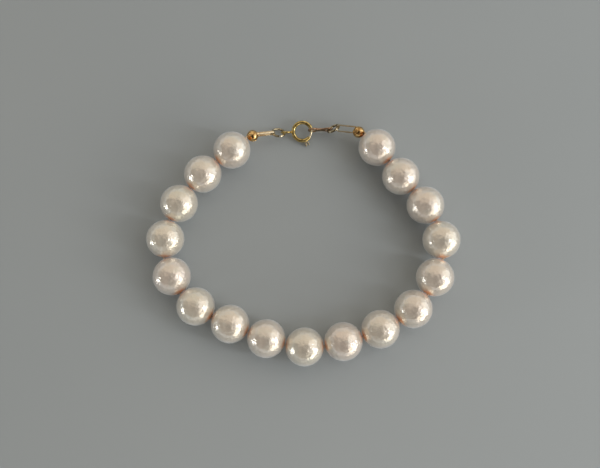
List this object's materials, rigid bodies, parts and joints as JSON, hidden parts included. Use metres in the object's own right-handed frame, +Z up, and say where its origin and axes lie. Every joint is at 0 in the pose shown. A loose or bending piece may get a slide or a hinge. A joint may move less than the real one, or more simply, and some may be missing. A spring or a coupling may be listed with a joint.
{
  "type": "pearl bracelet",
  "caption": "Single-strand bracelet of round pearls on a knotted thread, fastened by a spring ring clasp and a figure-eight tag on jump rings, lying flat in an open loop.",
  "frame": {"origin": "middle of the bounding box at its bottom, on the surface that the bracelet lies on, inside the loop", "axes": "+Z up, +Y towards the clasp, +X along the loop's long way, from the spring ring's eye towards its tag"},
  "size_m": [0.0752, 0.0602, 0.0089],
  "materials": {
    "pearl": "gloss",
    "gold_plate": "gloss",
    "thread": "matte"
  },
  "bodies": {
    "bracelet": {"pearl_01": "pearl", "pearl_02": "pearl", "pearl_03": "pearl", "pearl_04": "pearl", "pearl_05": "pearl", "pearl_06": "pearl", "pearl_07": "pearl", "pearl_08": "pearl", "pearl_09": "pearl", "pearl_10": "pearl", "pearl_11": "pearl", "pearl_12": "pearl", "pearl_13": "pearl", "pearl_14": "pearl", "pearl_15": "pearl", "pearl_16": "pearl", "pearl_17": "pearl", "thread": "thread", "bead_tip_left": "gold_plate", "bead_tip_right": "gold_plate", "jump_ring_left": "gold_plate", "jump_ring_right": "gold_plate", "spring_ring": "gold_plate", "tag": "gold_plate"},
    "trigger": {"clasp_trigger": "gold_plate"}
  },
  "joints": [
    {"name": "clasp_open", "type": "hinge", "parent": "bracelet", "child": "trigger", "pos_m": [-0.00021, 0.02745, 0.00142], "axis": [-0.0135, 0.2585, -0.9659], "range_deg": [0, 66], "stiffness_Nm_per_rad": 0.004}
  ]
}
